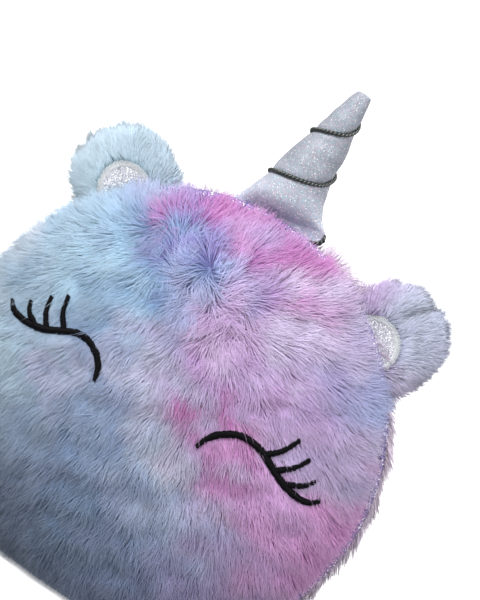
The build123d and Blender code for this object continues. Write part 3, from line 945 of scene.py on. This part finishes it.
def stitched_line(line, half_width, surface, pitch, crown, dice, slant=0.35):
    """Bowed stitches across a line on a surface: their paths and normals, at five stations each.

    line is points of a flat place, and half_width is one number for each. A stitch at share s of its width,
    from -1 to 1, stands crown * (1 - s^2) over the surface.
    """
    run = run_along(line)
    count = int(run[-1] / pitch)
    at = (np.arange(count) + 0.5) * pitch
    centre = np.stack([np.interp(at, run, line[:, 0]), np.interp(at, run, line[:, 1])], axis=-1)
    way = unit(np.stack([np.interp(at, run, np.gradient(line[:, 0])),
                         np.interp(at, run, np.gradient(line[:, 1]))], axis=-1))
    over = unit(np.stack([-way[:, 1], way[:, 0]], axis=-1) + slant * way)
    half = np.interp(at, run, half_width) * dice.uniform(0.82, 1.12, count)
    share = np.array([-1.0, -0.55, 0.0, 0.55, 1.0])
    place = centre[:, None] + share[None, :, None] * half[:, None, None] * over[:, None]
    points, normals = surface(place)
    rise = crown * (1 - share ** 2) * dice.uniform(0.85, 1.1, count)[:, None]
    rise = rise * np.minimum(half / half_width.max(), 1)[:, None]
    return points + rise[..., None] * normals, normals


for side, label in ((-1, "left"), (1, "right")):
    dice = np.random.default_rng(61 + side)
    stitches, stitch_normals, pads, pad_normals, pad_radii = [], [], [], [], []
    for line, half in [(LIDS[side], LID_HALF)] + [(lash, LASH_HALF) for lash in LASHES[side]]:
        smooth = smooth_line(line, 60) * MM
        share = np.linspace(0, 1, 60)
        if half == LASH_HALF:
            width = half * (1 - 0.35 * share)
        else:
            width = half * (0.55 + 0.45 * step(share, 0, 0.15)) * (1 - 0.25 * step(share, 0.75, 1))
        bows, bow_normals = stitched_line(smooth, width, lambda p: face_points(p, EYE_INSET), STITCH_PITCH,
                                          EYE_CROWN, dice)
        stitches.append(bows)
        stitch_normals.append(bow_normals)
        points, normals = face_points(smooth, EYE_INSET - 0.15 * MM)
        pads.append(points)
        pad_normals.append(normals)
        pad_radii.append(width * 0.66 * np.sqrt(np.clip(1 - (2 * share - 1) ** 16, 0.02, 1)))
    stitches, stitch_normals = np.concatenate(stitches), np.concatenate(stitch_normals)
    eye = tube_solids(f"{label}_eye_stitches", stitches, np.full(stitches.shape[:2], STITCH_RADIUS), 1.0,
                      stitch_normals, BLACK_THREAD, sides=4)
    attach(eye, "head")
    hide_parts(f"{label}_eye")
    pad = tube_solids(f"{label}_eye_padding", np.stack(pads), np.stack(pad_radii), 0.55,
                      np.stack(pad_normals), BLACK_THREAD, sides=10)
    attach(pad, "head")


# ----------------------------------------------------------------------
# Ears: pads of short powder-blue pile, sewn into the seam, with a half-moon of silver glitter cloth let into the
# front under a satin-stitched border.
# ----------------------------------------------------------------------
EAR_ANGLE = {-1: math.radians(42.5), 1: math.radians(39.8)}
EAR_FOOT = 116.0 * MM
EAR_SHOULDER = 131.0 * MM
EAR_HALF_WIDTH = 24.5 * MM
EAR_HALF_DEPTH = 6.2 * MM
EAR_FOOT_DEPTH = 3.2 * MM
EAR_BACKSET = 1.5 * MM
EAR_PILE = 8.5 * MM
EAR_STRANDS = 11600
PATCH_FOOT = 122.0 * MM
PATCH_HALF_WIDTH = 16.5 * MM
BORDER_WIDTH = 4.2 * MM
CREASE_ACROSS = -7.5 * MM  # the right ear was folded along here
PATCH_HOLLOW = 2.6 * MM


def ear_place(side, across, out, forward):
    """Points from places in an ear: across it, outwards from the head's middle, and forward."""
    cosine, sine = math.cos(EAR_ANGLE[side]), math.sin(EAR_ANGLE[side])
    return HEAD_MIDDLE + np.stack([across * cosine + side * out * sine, -forward,
                                   out * cosine - side * across * sine], axis=-1)


def ear_half_sizes(out, top, inset):
    """Half the width and half the depth of an ear pad at places outwards.

    The width is full below the shoulder and above it falls as sqrt(1 - t^2.3) to the top. The depth follows
    it and thins to the foot.
    """
    t = np.clip((out - EAR_SHOULDER) / (top - inset - EAR_SHOULDER), 0, 1)
    fall = np.sqrt(np.maximum(1 - t ** 2.3, 0))
    over_foot = step(out, EAR_FOOT, EAR_SHOULDER)
    deep = EAR_FOOT_DEPTH + (EAR_HALF_DEPTH - EAR_FOOT_DEPTH) * over_foot - inset
    return (EAR_HALF_WIDTH - inset) * fall * (1.12 - 0.12 * over_foot), deep * fall


def ear_hollow(across, out):
    """Depth of the round dip in the front of an ear, behind the patch."""
    return PATCH_HOLLOW * np.exp(-(across ** 2 + (out - PATCH_FOOT - 6 * MM) ** 2) / (17 * MM) ** 2)


def ear_form(side, top, out_share, turn, inset):
    """Points of an ear pad, and their places across and out.

    out_share runs from its foot to its top, and turn runs round it, 90 degrees in front.
    """
    out = EAR_FOOT + (top - inset - EAR_FOOT) * out_share
    wide, deep = ear_half_sizes(out, top, inset)
    across = wide * np.cos(turn)
    dip = ear_hollow(across, out) * np.clip(np.sin(turn), 0, 1)
    forward = deep * np.sin(turn) - EAR_BACKSET - dip
    return ear_place(side, across, out + 0 * across, forward), across, out + 0 * across


def ear_front(side, top, place):
    """Points on the front of an ear pad at places across and out, and the normal towards the face."""
    across, out = place[..., 0], place[..., 1]
    wide, deep = ear_half_sizes(out, top, 0)
    round_share = np.sqrt(np.clip(1 - (across / wide) ** 2, 0.05, 1))
    forward = deep * round_share - EAR_BACKSET - ear_hollow(across, out) * round_share
    points = ear_place(side, across, out, forward)
    return points, np.broadcast_to(np.array([0, -1.0, 0]), points.shape)


EAR_DYE = {
    -1: [((-150, 150), 60, (192, 208, 222)), ((-92, 128), 22, (174, 200, 216)),
         ((-110, 96), 24, (194, 220, 234)), ((-70, 130), 14, (190, 208, 222)), ((-118, 118), 18, (206, 216, 226))],
    1: [((120, 120), 30, (196, 202, 226)), ((84, 132), 24, (202, 210, 230)),
        ((64, 118), 12, (190, 156, 206)), ((118, 84), 20, (200, 198, 222)), ((104, 72), 14, (200, 182, 216))],
}
EAR_TOP = {-1: 152.5 * MM, 1: 156.0 * MM}
PATCH_TOP = {-1: 141.0 * MM, 1: 138.0 * MM}
SILVER_GLITTER = glitter_material(
    "silver_glitter", scale=2300, ground=(206, 208, 214), tint_a=(184, 180, 194), tint_b=(216, 222, 230),
    bright_share=0.14, tilt=0.8, metallic=0.35, glow=0.25)
SILVER_THREAD = thread_material("silver_satin_thread", (222, 226, 230), 0.35, 0.3)
WADDING = cotton_material("polyester_wadding", (238, 238, 236), 0.6 * MM)


def ear_dye(points, side):
    """Dye of an ear at each point."""
    return patch_colours(points, EAR_DYE[side], 5.0)


def fold(piece):
    """Bakes the piece's place into its points."""
    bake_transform(piece)


for side, label in ((-1, "left"), (1, "right")):
    top = EAR_TOP[side]
    dice = np.random.default_rng(71 + side)
    around = np.linspace(0, 2 * np.pi, 97)[:-1]
    rings, _, _ = ear_form(side, top, (1 - (1 - np.linspace(0, 0.999, 50)) ** 1.6)[:, None], around[None], 0)
    pelt = closed_skin(f"{label}_ear_pelt", rings, BACKING_CLOTH)
    # The pelt takes the ear's colours at 0.7 of their brightness: painted shade under the pile.
    set_colours(pelt.data, ear_dye(np.array([v.co for v in pelt.data.vertices]), side) * 0.7)
    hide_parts(f"{label}_ear_front", f"{label}_ear_back")
    rings, _, _ = ear_form(side, top, (0.08 + 0.92 * (1 - (1 - np.linspace(0, 0.99, 30)) ** 1.6))[:, None],
                           around[None], 1.6 * MM)
    wadding = closed_skin(f"{label}_ear_filling", rings, WADDING)
    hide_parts(f"{label}_ear_wadding")

    share = dice.uniform(0, 1, EAR_STRANDS * 2) ** 0.8
    turn = dice.uniform(0, 2 * np.pi, EAR_STRANDS * 2)
    small = 1e-3
    roots, across, out = ear_form(side, top, share, turn, 0)
    by_share, _, _ = ear_form(side, top, np.minimum(share + small, 0.9995), turn, 0)
    by_turn, _, _ = ear_form(side, top, share, turn + small, 0)
    grown = np.cross(by_share - roots, by_turn - roots)
    area = np.linalg.norm(grown, axis=-1) * np.maximum(share, 0.05) ** 0.25
    normals = unit(grown)
    front = np.sin(turn) > 0
    facing = np.where((normals[:, 1] < 0) == front, 1.0, -1.0)[:, None]
    normals = normals * np.where(np.abs(np.sin(turn)) < 0.05, np.sign(
        (normals * (roots - ear_place(side, 0 * out, out, 0 * out))).sum(-1)), facing[:, 0])[:, None]
    in_patch = (across / (PATCH_HALF_WIDTH - 1.5 * MM)) ** 2 + (
        (out - PATCH_FOOT) / (PATCH_TOP[side] - PATCH_FOOT - 1.5 * MM)) ** 2 < 1
    keep = (dice.uniform(0, 1, len(share)) < area / np.percentile(area, 85)) & (share < 0.998)
    keep &= ~(front & in_patch) & (out > EAR_FOOT + 4 * MM)
    roots, normals, across, out, front = (v[keep] for v in (roots, normals, across, out, front))
    away = unit(np.stack([across * 0.9, out - EAR_FOOT + 6 * MM], axis=-1))
    tip_place = ear_place(side, across + away[:, 0] * MM, out + away[:, 1] * MM, 0 * out)
    flow = unit(tip_place - ear_place(side, across, out, 0 * out))
    flow = unit(flow - (flow * normals).sum(-1, keepdims=True) * normals * 0.7)
    plane = np.stack([across, out - EAR_FOOT], axis=-1)
    length = EAR_PILE * dice.uniform(0.7, 1.15, len(roots))
    length *= 1 + 0.14 * waves(plane, 16 * MM, 73 + side)
    crease = np.exp(-((across - CREASE_ACROSS) / (2.6 * MM)) ** 2) * step(out, 136 * MM, 141 * MM)
    crease = crease * (side > 0)
    height = (0.42 + 0.08 * waves(plane, 22 * MM, 75 + side)) * (1 - 0.85 * crease)
    paths, number = fur_paths(roots, normals, flow, plane, length, height, 77 + side, 5 * MM)
    # On the front of the right ear the fibres along the crease are painted darker, to 0.45 of their colour:
    # painted shade in the fold.
    colours = fibre_colours(ear_dye(roots, side) * (1 - 0.55 * crease * front)[:, None], number, 79 + side)
    pattern = plane / (80 * MM) + (0.5, 0.1)
    for index, part in enumerate((front, ~front)):
        fur = strand_solids(f"{label}_ear_fur_{index + 1}", paths[part], normals[part],
                            STRAND_RADIUS * dice.uniform(0.8, 1.35, part.sum()), colours[part], PILE_FIBRE,
                            pattern[part])
        fold(fur)

    turn = np.linspace(0, 2 * np.pi, 81)[:-1]
    reach = np.where(np.sin(turn) > 0, PATCH_TOP[side] - PATCH_FOOT - BORDER_WIDTH * 0.5, 5 * MM)
    rim = np.stack([(PATCH_HALF_WIDTH - BORDER_WIDTH * 0.5) * np.cos(turn), reach * np.sin(turn)], axis=-1)
    shares = np.linspace(0.02, 1, 22)[:, None, None]
    upper, toward = ear_front(side, top, rim[None] * shares + (0, PATCH_FOOT))
    lower, _ = ear_front(side, top, rim[None] * shares[::-1] + (0, PATCH_FOOT))
    rings = np.concatenate([upper + 0.9 * MM * toward, lower + 0.1 * MM * toward])
    patch = closed_skin(f"{label}_ear_patch", rings, SILVER_GLITTER)
    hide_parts(f"{label}_ear_inner")
    turn = np.linspace(-0.12, np.pi + 0.12, 90)
    arc = np.stack([(PATCH_HALF_WIDTH - BORDER_WIDTH / 2) * np.cos(turn),
                    (PATCH_TOP[side] - PATCH_FOOT - BORDER_WIDTH / 2) * np.sin(turn) + PATCH_FOOT], axis=-1)
    width = BORDER_WIDTH / 2 * np.random.default_rng(83 + side).uniform(0.7, 1.2, 90)
    bows, bow_normals = stitched_line(arc, width, lambda place: ear_front(side, top, place), 0.80 * MM,
                                      0.45 * MM, dice, slant=0.4)
    border = tube_solids(f"{label}_ear_border_stitches", bows + bow_normals * 0.8 * MM,
                         np.full(bows.shape[:2], 0.27 * MM), 1.0, bow_normals, SILVER_THREAD, sides=5)
    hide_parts(f"{label}_ear_border")
    for piece in (pelt, wadding, patch, border):
        fold(piece)


# ----------------------------------------------------------------------
# Horn: a leaning cone of iridescent glitter cloth, stuffed, spread and flattened at the foot where it is
# sewn into the seam behind the piping. The cord pulls it in along a helix, and it swells between the turns.
# ----------------------------------------------------------------------
HORN_X = -4.9 * MM
HORN_FOLD = 244.5 * MM
HORN_SLOPE = math.tan(math.radians(6.5))
HORN_LENGTH = 76.0 * MM
HORN_FLARE = 20.0 * MM
HORN_FOOT = -13.0 * MM  # on the left the cloth goes on spreading below the fold, down to the seam
HORN_RADIUS = 15.9 * MM
HORN_TIP = 4.4 * MM
HORN_FOOT_WIDTH = 28.5 * MM
HORN_FOOT_DEPTH = 5.0 * MM
CORD_PITCH = 30.8 * MM
CORD_START = -2.4 * MM
CORD_SAG = 1.5 * MM  # the cord hangs this much lower on the right than an even helix
GROOVE = 1.0 * MM
SWELL = 0.9 * MM


def horn_surface(height, turn, inset):
    """Points of the horn at heights over the fold and turns round it, 270 degrees in front.

    Half the width is a straight cone plus (1 - (h - foot) / (flare - foot))^2 of what the foot adds, and the
    depth follows it to a higher power. The foot is HORN_FOOT below the fold on the left and at the fold on
    the right, and moves back behind the piping. Between turns of the cord the cloth swells by sin^2.
    """
    height, turn = np.broadcast_arrays(height, turn)
    up = np.clip((height - HORN_FLARE) / (HORN_LENGTH - HORN_FLARE), 0, 1)
    cone = HORN_RADIUS + (HORN_TIP - HORN_RADIUS) * up
    foot_height = HORN_FOOT * (0.5 - 0.5 * np.cos(turn))
    foot = (1 - np.clip((height - foot_height) / (HORN_FLARE - foot_height), 0, 1)) ** 2
    wide = cone + (HORN_FOOT_WIDTH - HORN_RADIUS) * foot
    deep = cone + (HORN_FOOT_DEPTH - HORN_RADIUS) * foot ** 1.7 - 1.2 * MM * up ** 4
    over_start = height - CORD_START + CORD_SAG * (1 + np.cos(turn))
    phase = np.mod(over_start / CORD_PITCH - turn / (2 * np.pi), 1)
    near = np.minimum(phase, 1 - phase) * CORD_PITCH
    firm = step(height, 0, HORN_FLARE * 0.7) * (1 - 0.6 * up)
    swell = firm * (SWELL * np.sin(np.pi * phase) ** 2 - GROOVE * np.exp(-(near / (2.2 * MM)) ** 2))
    crumple = 0.35 * MM * waves(np.stack([height, turn * 9 * MM], axis=-1), 15 * MM, 91) * firm
    back = 3.0 * MM * (1 - step(height, -9 * MM, 6 * MM))
    deep = deep - 1.8 * MM * (1 - step(height, -9 * MM, 3 * MM))
    x = HORN_X + HORN_SLOPE * np.maximum(height, 0) + (wide + swell + crumple - inset) * np.cos(turn)
    y = back + (deep + swell + crumple - inset) * np.sin(turn)
    return np.stack([x, y, HORN_FOLD + height + 0 * x], axis=-1)


def tilt(piece):
    """Bakes the piece's place into its points."""
    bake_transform(piece)


def painted_light_by_height(material, low, high, share):
    """Painted light: the cloth's colour falls to the given share of itself between two heights, so that the foot,
    in shade between the horn and the fur, is painted lighter than the lit cloth above. Changes the material.
    """
    nodes, links = material.node_tree.nodes, material.node_tree.links
    shader = nodes["Principled BSDF"]
    flecked = shader.inputs["Base Color"].links[0].from_socket
    place = nodes.new("ShaderNodeTexCoord")
    axes = nodes.new("ShaderNodeSeparateXYZ")
    links.new(place.outputs["Object"], axes.inputs["Vector"])
    rise = nodes.new("ShaderNodeMapRange")
    for socket, value in (("From Min", low), ("From Max", high), ("To Min", 1.0), ("To Max", share)):
        rise.inputs[socket].default_value = value
    links.new(axes.outputs["Z"], rise.inputs["Value"])
    painted_light_colour = vector_maths(nodes, links, "SCALE", flecked, rise.outputs["Result"])
    links.new(painted_light_colour, shader.inputs["Base Color"])


HORN_GLITTER = glitter_material(
    "horn_glitter", scale=2500, ground=(208, 212, 212), tint_a=(234, 200, 222), tint_b=(164, 220, 240),
    bright_share=0.03, tilt=0.34, metallic=0.06, glow=0.35)
# Painted light: the horn's colour stays full at the shaded foot and falls to 0.52 over the lit cloth above.
painted_light_by_height(HORN_GLITTER, HORN_FOLD - 4 * MM, HORN_FOLD + 26 * MM, 0.52)
turn = np.linspace(0, 2 * np.pi, 121)[:-1]
height = np.linspace(-16.5 * MM, HORN_LENGTH - 1.2 * MM, 140)
rings = horn_surface(height[:, None], turn[None], 0)
middle = rings[-1].mean(0)
crown = [middle + (rings[-1] - middle) * share + (0, 0, rise) for share, rise in (
    (0.93, 0.6 * MM), (0.8, 1.0 * MM), (0.55, 1.2 * MM), (0.3, 1.25 * MM))]
horn = closed_skin("horn_cloth", np.concatenate([rings, np.array(crown)]), HORN_GLITTER)
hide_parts("horn_cover")
tilt(horn)
inner = horn_surface(np.linspace(-9 * MM, HORN_LENGTH - 4 * MM, 60)[:, None], turn[None, ::3], 1.5 * MM)
filling = closed_skin("horn_filling", inner, WADDING)
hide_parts("horn_stuffing")
tilt(filling)


# ----------------------------------------------------------------------
# Horn cord: two plies of metallic grey thread, twisted and wound up the horn, caught under it at the left
# corner of the foot and tucked in at the back.
# ----------------------------------------------------------------------
CORD_RADIUS = 1.45 * MM
CORD_TURNS = 2.25
PLY_TWIST = 4.4 * MM
PLIES = 2
PLY_RADIUS = 0.66 * MM
PLY_ORBIT = 0.66 * MM


def cord_line(count):
    """Points of the cord's middle and its outward directions: a helix that drops along the foot in front."""
    turn = np.linspace(-np.pi * 0.98, CORD_TURNS * 2 * np.pi, count)
    below = np.clip(-turn / np.pi, 0, 1)
    climb, drop = CORD_PITCH * turn / (2 * np.pi), -15.5 * MM * below ** 0.62
    height = CORD_START + np.where(turn > 0, climb, drop)
    height = height - CORD_SAG * (1 + np.cos(turn)) * np.clip(0.4 + turn / (2 * np.pi), 0, 1)
    surface = horn_surface(height, turn, 0)
    inner = horn_surface(height, turn, 2 * MM)
    outward = unit(surface - inner)
    return surface + outward * (CORD_RADIUS * 0.62), outward


line, outward = cord_line(1300)
run = run_along(line)
way = unit(np.gradient(line, axis=0))
side = unit(np.cross(way, outward))
lift = np.cross(side, way)
taper = np.minimum(1, 0.35 + np.minimum(run, run[-1] - run) / (2 * MM))
GREY_CORD = thread_material("metallic_grey_cord", (88, 92, 90), 0.30, 0.0)
GREY_CORD.node_tree.nodes["Principled BSDF"].inputs["Metallic"].default_value = 0.8
for ply in range(PLIES):
    angle = run / PLY_TWIST * 2 * np.pi + ply * 2 * np.pi / PLIES
    centre = line + PLY_ORBIT * (np.cos(angle)[:, None] * side + np.sin(angle)[:, None] * lift)
    ahead = unit(np.gradient(centre, axis=0))
    ply_side = unit(np.cross(ahead, outward))
    ply_lift = np.cross(ply_side, ahead)
    rings = round_rings(centre, PLY_RADIUS * taper, ply_side, ply_lift, 10)
    cord = closed_skin(f"horn_cord_ply_{ply + 1}", rings, GREY_CORD)
    if ply == 0:
        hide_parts("horn_cord")
    tilt(cord)


# ----------------------------------------------------------------------
# Parts kept as packed: stuffing, eye backings and the ladder stitches that close the seam.
# ----------------------------------------------------------------------
FELT = cotton_material("embroidery_backing", (224, 222, 216), 0.15 * MM)
LILAC_THREAD = thread_material("lilac_sewing_thread", (196, 178, 214), 0.5, 0.2)
for node, material in (("head_stuffing", WADDING), ("left_eye_backing", FELT), ("right_eye_backing", FELT),
                       ("closing_stitches", LILAC_THREAD)):
    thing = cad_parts[node]
    thing.data.materials.clear()
    thing.data.materials.append(material)
